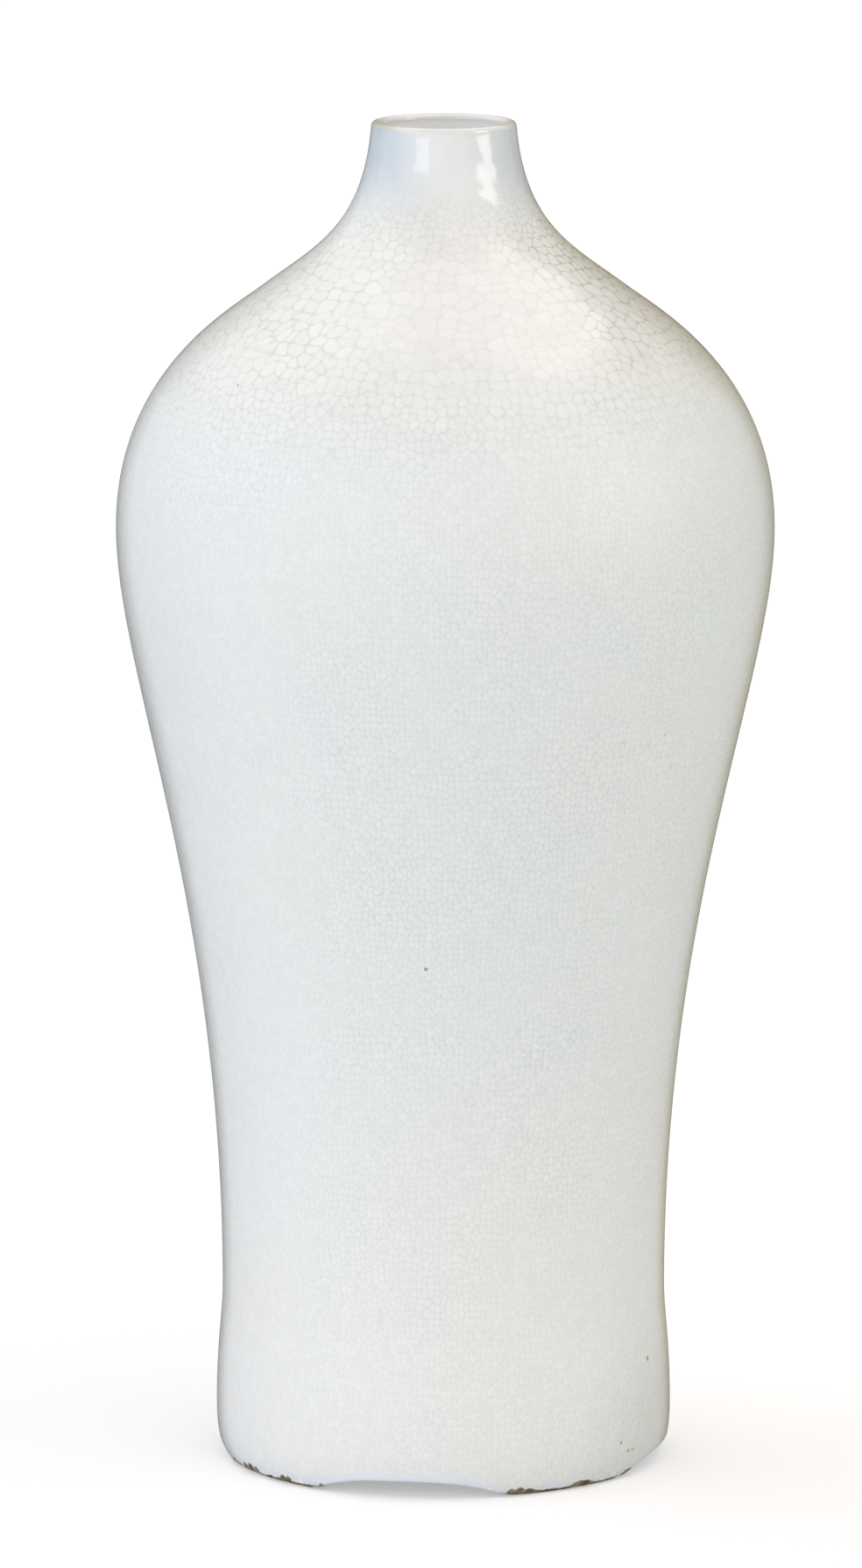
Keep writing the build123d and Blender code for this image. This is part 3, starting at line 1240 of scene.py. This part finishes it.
def seat(piece: bpy.types.Object, node: str) -> None:
    """Make a piece stand for a CAD node.

    Args:
        piece: The piece.
        node: The node that it replaces.
    """
    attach(piece, BODY)
    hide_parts(node)
    log.info("%s: %d faces", piece.name, len(piece.data.polygons))


@dataclass
class OuterGlaze:
    """The glaze on the outside, over the outer half of the lip and round the notches of the foot."""

    columns: int = 400
    coat: float = 0.4
    tuck: float = 0.35
    edge_round: float = 0.75
    edge_rings: int = 6
    edge_passes: int = 3
    notch_fade: float = 0.5
    lining_end: float = 37.75
    lining_least: float = 0.1
    lining_rings: int = 7
    foot_zone: float = 13.0
    foot_rings: int = 14
    wall_rings: int = 150
    lip_rings: int = 18
    clay_lip_end: float = 15.0
    clay_lip_rings: int = 5
    clay_rings: int = 44
    clay_foot: float = 0.3
    clay_foot_rings: int = 4
    near_edge: float = 3.4
    near_power: float = 1.5

    def build(self) -> bpy.types.Object:
        """Build the coat.

        Returns:
            The new piece, with a mark along its lower edge for the finish.
        """
        lathe = Lathe("glaze_outside", self.columns)
        line = GLAZE_LINE.height(lathe.angle)
        low = self.lower_edge(lathe.angle, line)
        edge = OUTSIDE.radius_at(low)
        top = low + self.edge_round
        front = self.lining(lathe.angle, line, low, edge)
        front += rounded(front[-1], (edge, low), (OUTSIDE.radius_at(top), top), self.edge_rings)
        front += level_rings(OUTSIDE.radius_at, top, self.foot_zone, self.foot_rings)
        curve = OUTSIDE.points()
        wall = curve[curve[:, 1] > self.foot_zone]
        front += rings_of(spaced(wall, self.wall_rings))
        front += arc(LIP_CENTRE, LIP_ROUND, LIP.lean, 90.0, self.lip_rings)
        piece = lathe.mesh(front, self.clay_side(wall, top))
        self.mark_edge(piece, low, len(front))
        return piece

    def lower_edge(self, angle: np.ndarray, line: np.ndarray) -> np.ndarray:
        """Find the coat's lower edge, which follows the notches and the bare line between them.

        Args:
            angle: The angle of each column, in radians.
            line: The height where the glaze stops between the notches, for every column.

        Returns:
            The height of the edge, for every column.
        """
        height = line
        for _ in range(self.edge_passes):
            height = np.maximum(line, NOTCHES.rise(angle, OUTSIDE.radius_at(height)))
        return height

    def lining(self, angle: np.ndarray, line: np.ndarray, low: np.ndarray, edge: np.ndarray) -> list[Ring]:
        """Make the rings under the foot, which line the notches.

        Args:
            angle: The angle of each column, in radians.
            line: The height where the glaze stops between the notches, for every column.
            low: The height of the coat's lower edge.
            edge: The radius of that edge.

        Returns:
            The rings from the inside to the outside.
        """
        notched = np.clip((NOTCHES.rise(angle, edge) - line) / self.notch_fade, 0.0, 1.0)
        inner = (edge - self.coat - self.tuck) * (1 - notched) + self.lining_end * notched
        outer = np.maximum(edge - self.edge_round, inner + self.lining_least)
        rings: list[Ring] = []
        for share in np.linspace(0.0, 1.0, self.lining_rings):
            radius = inner + (outer - inner) * share
            rings.append((radius, np.maximum(NOTCHES.rise(angle, radius), low)))
        return rings

    def clay_wall(self, height: Level) -> Level:
        """The radius of the clay under the coat at these heights."""
        return OUTSIDE.radius_at(height) - self.coat

    def clay_side(self, wall: np.ndarray, top: np.ndarray) -> list[Ring]:
        """Make the rings that lie on the clay.

        Args:
            wall: The outline above the foot.
            top: The height where the rounding of the lower edge ends, for every column.

        Returns:
            The rings from the lip's crest down to the foot.
        """
        rings = arc(LIP_CENTRE, LIP_ROUND - self.coat, 90.0, self.clay_lip_end, self.clay_lip_rings)
        rings += rings_of(spaced(offset(wall, self.coat)[::-1], self.clay_rings))
        end = top + self.clay_foot
        return rings + level_rings(self.clay_wall, self.foot_zone, end, self.clay_foot_rings)

    def mark_edge(self, piece: bpy.types.Object, low: np.ndarray, shown: int) -> None:
        """Mark how near each point of the front is to the coat's lower edge.

        Args:
            piece: The coat.
            low: The height of the lower edge, for every column.
            shown: How many rings the front has.
        """
        points = np.empty(len(piece.data.vertices) * 3, np.float32)
        piece.data.vertices.foreach_get("co", points)
        height = points.reshape(-1, self.columns, 3)[:, :, 2] / MM
        near = np.clip(1 - (height - low) / self.near_edge, 0.0, 1.0) ** self.near_power
        near[shown:] = 0.0
        layer = piece.data.attributes.new(EDGE_ATTRIBUTE, "FLOAT", "POINT")
        layer.data.foreach_set("value", near.astype(np.float32).ravel())


@dataclass
class InnerGlaze:
    """The glaze inside, from the lip's crest down the neck and the wall to the floor."""

    columns: int = 200
    coat: float = 0.4
    both_coats: float = 1.0
    waist_wall: float = 5.2
    belly_wall: float = 4.2
    shoulder_wall: float = 3.6
    bore: float = 12.8
    bore_bottom: float = 269.9
    floor: float = 14.4
    corner: float = 8.5
    lip_rings: int = 18
    bore_rings: int = 10
    wall_rings: int = 110
    floor_rings: int = 12
    back_rings: int = 120

    def build(self) -> bpy.types.Object:
        """Build the coat.

        Returns:
            The new piece.
        """
        lathe = Lathe("glaze_inside", self.columns)
        front = self.open_side()
        back = offset(front, self.coat)[::-1]
        back[:, 0] = np.maximum(back[:, 0], CENTRE_RADIUS)
        return lathe.mesh(rings_of(front), rings_of(spaced(back, self.back_rings)))

    def open_side(self) -> np.ndarray:
        """Draw the section of the side that shows.

        Returns:
            Rows of (radius, height) from the crest of the lip to the middle of the floor.
        """
        wall_foot = FOOT.radius - self.both_coats - self.waist_wall
        stations = (
            Station(wall_foot, self.floor + self.corner),
            WAIST.inset(self.both_coats + self.waist_wall),
            BELLY.inset(self.both_coats + self.belly_wall),
            SHOULDER.inset(self.both_coats + self.shoulder_wall),
            Station(self.bore, self.bore_bottom),
        )
        wall = spaced(Profile(stations, FULLNESS[1:]).points()[::-1], self.wall_rings)
        lip = arc(LIP_CENTRE, LIP_ROUND, 90.0, 180.0, self.lip_rings)
        bore = np.linspace((self.bore, LIP.height), (self.bore, self.bore_bottom), self.bore_rings)
        middle = wall_foot - self.corner
        corner = arc((middle, self.floor + self.corner), self.corner, 0.0, -90.0, self.floor_rings)
        floor = np.linspace((middle, self.floor), (CENTRE_RADIUS, self.floor), self.floor_rings)
        return np.vstack((lip, bore[1:], wall[1:], corner[1:], floor[1:]))


@dataclass
class BaseGlaze:
    """The glaze under the floor and down the inner wall of the foot ring."""

    columns: int = 400
    coat: float = 0.4
    inset: float = 0.5
    face: float = 6.9
    face_rings: int = 26
    turning: float = 0.05
    turning_pitch: float = 4.2
    corner: float = 2.2
    corner_rings: int = 7
    wall_rings: int = 7
    bare: float = 0.7
    ripple: float = 0.15
    ripple_seed: int = 21
    ripple_waves: Waves = (8, 30)
    edge_round: float = 0.35
    edge_inset: float = 0.12
    edge_rings: int = 4
    back_inset: float = 0.1
    back_foot: float = 0.3
    back_middle: float = 6.4

    def wall(self, height: Level) -> Level:
        """The radius of the coat's face on the inner wall of the ring at these heights."""
        return ring_inner(height) - self.inset

    def build(self) -> bpy.types.Object:
        """Build the coat.

        Returns:
            The new piece.
        """
        lathe = Lathe("glaze_underside", self.columns)
        line = self.bare + self.ripple * wander(lathe.angle, self.ripple_seed, self.ripple_waves)
        low = np.maximum(line, NOTCHES.rise(lathe.angle, RING_INNER))
        face, wall_top = self.face, self.face - self.corner
        front: list[Ring] = []
        for radius in np.linspace(CENTRE_RADIUS, self.wall(face) - self.corner, self.face_rings):
            front.append((radius, face - self.turning * math.sin(radius / self.turning_pitch * math.tau)))
        wall_start = (self.wall(wall_top), wall_top)
        front += rounded(front[-1], (self.wall(face), face), wall_start, self.corner_rings)
        front += level_rings(self.wall, wall_top, low + self.edge_round, self.wall_rings)
        tip = (ring_inner(low) - self.edge_inset, low)
        front += rounded(front[-1], (self.wall(low), low), tip, self.edge_rings)
        heights = (low + self.back_foot, (low + self.back_middle) / 2, face + self.coat)
        back: list[Ring] = [(ring_inner(height) - self.back_inset, height) for height in heights]
        back.append((CENTRE_RADIUS, face + self.coat))
        return lathe.mesh(front, back, flat=True)


@dataclass
class FootRing:
    """The clay foot ring, bare along the worn edges that the vase stands on."""

    columns: int = 400
    depth: float = 0.5
    edge_round: float = 0.5
    edge_rings: int = 5
    chip: float = 0.45
    most_chip: float = 1.2
    chip_seed: int = 31
    chip_waves: Waves = (14, 60)
    ground_inset: float = 0.6
    ground_rings: int = 9
    outer_rings: int = 6
    top_width: float = 9.2
    top_shares: tuple[float, ...] = (0.35, 0.7, 1.0)
    inner_rings: int = 5
    inner_round: float = 0.5
    inner_round_rings: int = 4

    def wall(self, height: Level) -> Level:
        """The radius of the ring's outer wall at these heights."""
        return OUTSIDE.radius_at(height) - self.depth

    def underside(self, angle: np.ndarray, radius: Level) -> np.ndarray:
        """The height of the ring's underside: the floor, and the arches of the notches."""
        return NOTCHES.rise(angle, radius, self.depth)

    def build(self) -> bpy.types.Object:
        """Build the ring.

        Returns:
            The new piece.
        """
        lathe = Lathe("foot_ring_clay", self.columns)
        angle = lathe.angle
        chipped = np.clip(wander(angle, self.chip_seed, self.chip_waves), 0.0, self.most_chip)
        worn = self.edge_round + self.chip * chipped
        ground = self.underside(angle, self.wall(worn))
        outer = self.wall(ground)
        inner_ground = self.underside(angle, RING_INNER)
        inner = ring_inner(inner_ground)
        rings: list[Ring] = []
        start = inner + self.ground_inset
        for share in np.linspace(0.0, 1.0, self.ground_rings):
            radius = start + (outer - worn - start) * share
            rings.append((radius, self.underside(angle, radius)))
        top = ground + worn
        rings += rounded(rings[-1], (outer, ground), (self.wall(top), top), self.edge_rings)
        rings += level_rings(self.wall, top, RING_TOP, self.outer_rings)
        rings += [(self.wall(RING_TOP) - share * self.top_width, RING_TOP) for share in self.top_shares]
        rings += level_rings(ring_inner, RING_TOP, inner_ground + self.inner_round, self.inner_rings)
        rings += rounded(rings[-1], (inner, inner_ground), rings[0], self.inner_round_rings)[:-1]
        return lathe.mesh(rings, [])


@dataclass
class ClayCore:
    """The clay sections and the slip between them, which stay as they are under the glaze."""

    sections: tuple[str, ...] = ("lower_body", "upper_body", "neck")
    slips: tuple[str, ...] = ("foot_slip", "body_slip", "neck_slip")

    def dress(self, clay: bpy.types.Material, slip: bpy.types.Material) -> None:
        """Dress the pieces of the core.

        Args:
            clay: The finish of the sections.
            slip: The finish of the joints between them.
        """
        for names, material in ((self.sections, clay), (self.slips, slip)):
            for name in names:
                dress(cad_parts[name], material)
                log.info("%s: dressed", name)


# Studio


def towards(azimuth: float, elevation: float) -> Vector:
    """Find the direction from the vase to a place round the studio.

    Args:
        azimuth: How far round the place lies from the camera's own azimuth, in degrees.
        elevation: How high it lies, in degrees.

    Returns:
        The unit direction.
    """
    turn = math.radians(azimuth + CAMERA_AZIMUTH)
    rise = math.radians(elevation)
    return Vector((math.cos(rise) * math.sin(turn), -math.cos(rise) * math.cos(turn), math.sin(rise)))


@dataclass(frozen=True)
class Glow:
    """A soft patch of light on the studio's walls: its place in degrees and its colour."""

    azimuth: float
    elevation: float
    colour: Colour


@dataclass(frozen=True)
class Skylight:
    """The lit panel overhead that the shoulder mirrors.

    Each pair says where an edge starts and where it is complete, for one metre of height.
    """

    left: Span = (-0.55, 0.62)
    right: Span = (0.71, 0.66)
    front: Span = (0.12, -0.18)
    back: Span = (-1.5, -1.1)
    horizon: Span = (0.05, 0.20)
    colour: Colour = (1.62, 1.44, 1.41)


@dataclass(frozen=True)
class Softbox:
    """A lit panel that shows as a highlight in the glaze: its place, size in metres and brightness."""

    name: str
    azimuth: float
    elevation: float
    width: float
    height: float
    brightness: float
    distance: float = 4.5
    colour: Colour = (1.0, 0.98, 0.96)


@dataclass(frozen=True)
class Studio:
    """The floor, the soft light of the room, two panels and the camera."""

    floor_radius: float = 9.0
    floor_corners: int = 96
    floor_drop: float = 0.02
    floor_white: Colour = (0.92, 0.92, 0.92)
    floor_seen: Colour = (0.58, 0.58, 0.58)
    floor_glow: float = 0.385
    floor_roughness: float = 0.9
    walls: Colour = (0.02, 0.02, 0.02)
    backdrop: Colour = (1.0, 1.0, 1.0)
    glow_spread: float = 50.0
    glows: tuple[Glow, ...] = (
        Glow(-150.0, 32.0, (0.42, 0.42, 0.42)),
        Glow(-75.0, 5.0, (1.07, 1.10, 1.27)),
        Glow(-35.0, 5.0, (0.91, 0.90, 0.93)),
        Glow(0.0, 5.0, (0.90, 0.855, 0.815)),
        Glow(35.0, 5.0, (0.33, 0.28, 0.23)),
        Glow(150.0, 5.0, (0.18, 0.13, 0.02)),
        Glow(-110.0, 45.0, (1.17, 1.145, 1.16)),
        Glow(50.0, 45.0, (1.10, 1.04, 1.01)),
        Glow(110.0, 45.0, (0.89, 0.86, 0.83)),
        Glow(0.0, 90.0, (0.60, 0.54, 0.53)),
        Glow(-60.0, -40.0, (0.57, 0.57, 0.57)),
        Glow(120.0, -40.0, (0.38, 0.37, 0.34)),
    )
    skylight: Skylight = Skylight()
    panels: tuple[Softbox, ...] = (
        Softbox("panel_left", -33.0, 12.5, 1.70, 1.20, 2.3),
        Softbox("panel_right", 67.0, 17.0, 1.70, 2.40, 4.3),
    )
    panel_target: float = 0.25
    camera_distance: float = 2.380
    camera_height: float = 0.5539
    camera_pitch: float = 9.83
    camera_lens: float = 266.95
    camera_shift: float = -0.0079
    camera_reach: float = 50.0

    def build(self) -> None:
        """Build the whole studio."""
        self.floor()
        self.room()
        for panel in self.panels:
            self.panel(panel)
        self.camera()
        settings = bpy.context.scene.view_settings
        settings.view_transform = "Standard"
        settings.look = "None"

    def floor(self) -> None:
        """Lay the plain pale floor, just under the foot."""
        mesh = bpy.data.meshes.new("floor")
        turns = np.linspace(0.0, math.tau, self.floor_corners, endpoint=False)
        rim = [(self.floor_radius * math.cos(t), self.floor_radius * math.sin(t), 0.0) for t in turns]
        mesh.from_pydata(rim, [], [list(range(len(rim)))])
        floor = bpy.data.objects.new("floor", mesh)
        floor.location.z = -self.floor_drop * MM
        bpy.context.scene.collection.objects.link(floor)
        finish = Finish("floor_white")
        graph = finish.graph
        seen = graph.node("ShaderNodeLightPath").outputs["Is Camera Ray"]
        colour = graph.blend(seen, self.floor_white, self.floor_seen)
        graph.named(finish.shader, Base_Color=colour, Roughness=self.floor_roughness)
        finish.shader.inputs["Specular IOR Level"].default_value = 0.0
        glow = graph.product(seen, self.floor_glow)
        graph.named(finish.shader, Emission_Color=self.backdrop, Emission_Strength=glow)
        dress(floor, finish.material)
        floor.visible_glossy = False

    def room(self) -> None:
        """Light the room: soft patches on darker walls, with a white backdrop for the camera."""
        world = bpy.data.worlds.new("studio")
        world.use_nodes = True
        bpy.context.scene.world = world
        graph = Graph(world.node_tree)
        direction = graph.node("ShaderNodeTexCoord").outputs["Generated"]
        rim = math.cos(math.radians(self.glow_spread))
        total: object = self.walls
        for glow in self.glows:
            facing = graph.vector("DOT_PRODUCT", direction, tuple(towards(glow.azimuth, glow.elevation)))
            total = graph.vector("ADD", total, graph.scaled(glow.colour, graph.ramp(facing, rim, 1.0)))
        path = graph.node("ShaderNodeLightPath")
        mirrored = graph.product(self.skylight_mask(graph, direction), path.outputs["Is Glossy Ray"])
        total = graph.vector("ADD", total, graph.scaled(self.skylight.colour, mirrored))
        colour = graph.blend(path.outputs["Is Camera Ray"], total, self.backdrop)
        graph.named(world.node_tree.nodes["Background"], Color=colour)

    def skylight_mask(self, graph: Graph, direction: Socket) -> Socket:
        """Mark the directions in which the overhead panel lies.

        Args:
            graph: The world's shader.
            direction: The direction looked in.

        Returns:
            A mask that is 1 on the panel and fades at its edges.
        """
        sky = self.skylight
        up = graph.vector("DOT_PRODUCT", direction, (0.0, 0.0, 1.0))
        height = graph.math("MAXIMUM", up, sky.horizon[0])
        right, front = (
            graph.math("DIVIDE", graph.vector("DOT_PRODUCT", direction, tuple(towards(side, 0.0))), height)
            for side in (90.0, 0.0)
        )
        mask = graph.ramp(up, *sky.horizon)
        for place, edge in ((right, sky.left), (right, sky.right), (front, sky.front), (front, sky.back)):
            mask = graph.math("MULTIPLY", mask, graph.ramp(place, *edge))
        return mask

    def panel(self, box: Softbox) -> None:
        """Hang one lit panel, facing the vase.

        Args:
            box: The panel.
        """
        light = bpy.data.lights.new(box.name, "AREA")
        light.shape = "RECTANGLE"
        light.size = box.width
        light.size_y = box.height
        light.color = box.colour
        light.energy = box.brightness * math.pi * box.width * box.height
        lamp = bpy.data.objects.new(box.name, light)
        place = towards(box.azimuth, box.elevation) * box.distance
        lamp.location = place + Vector((0.0, 0.0, self.panel_target))
        lamp.rotation_euler = (-place).to_track_quat("-Z", "Y").to_euler()
        lamp.visible_camera = False
        lamp.visible_diffuse = False
        bpy.context.scene.collection.objects.link(lamp)

    def camera(self) -> None:
        """Set up the camera at the photograph's viewing angle."""
        data = bpy.data.cameras.new("camera")
        data.lens = self.camera_lens
        data.shift_x = self.camera_shift
        data.clip_end = self.camera_reach
        camera = bpy.data.objects.new("camera", data)
        turn = math.radians(CAMERA_AZIMUTH)
        camera.location = (
            self.camera_distance * math.sin(turn),
            -self.camera_distance * math.cos(turn),
            self.camera_height,
        )
        camera.rotation_euler = (math.radians(90.0 - self.camera_pitch), 0.0, turn)
        bpy.context.scene.collection.objects.link(camera)
        bpy.context.scene.camera = camera


def main() -> None:
    """Build the studio, dress every piece of the vase and report on each."""
    logging.basicConfig(level=logging.INFO, format="%(name)s: %(message)s")
    Studio().build()
    speck = Speck().group()
    effects = Effects(Crackle().group(), Mottle().group(), FootStain().group(speck), speck)
    crackle = CrackleGlaze(effects).material()
    plain = PlainGlaze(effects).material()
    clay = BareClay(effects).material()
    slip = LutingSlip(effects).material()
    pieces = (
        (OuterGlaze(), crackle, "outer_glaze", "crackle_glaze"),
        (InnerGlaze(), plain, "inner_glaze", "plain_glaze"),
        (BaseGlaze(), plain, "base_glaze", "plain_glaze"),
        (FootRing(), clay, "foot_ring", "clay_body"),
    )
    for maker, material, node, slot in pieces:
        piece = maker.build()
        dress(piece, material)
        seat(piece, node)
    ClayCore().dress(clay, slip)


if __name__ == "__main__":
    main()
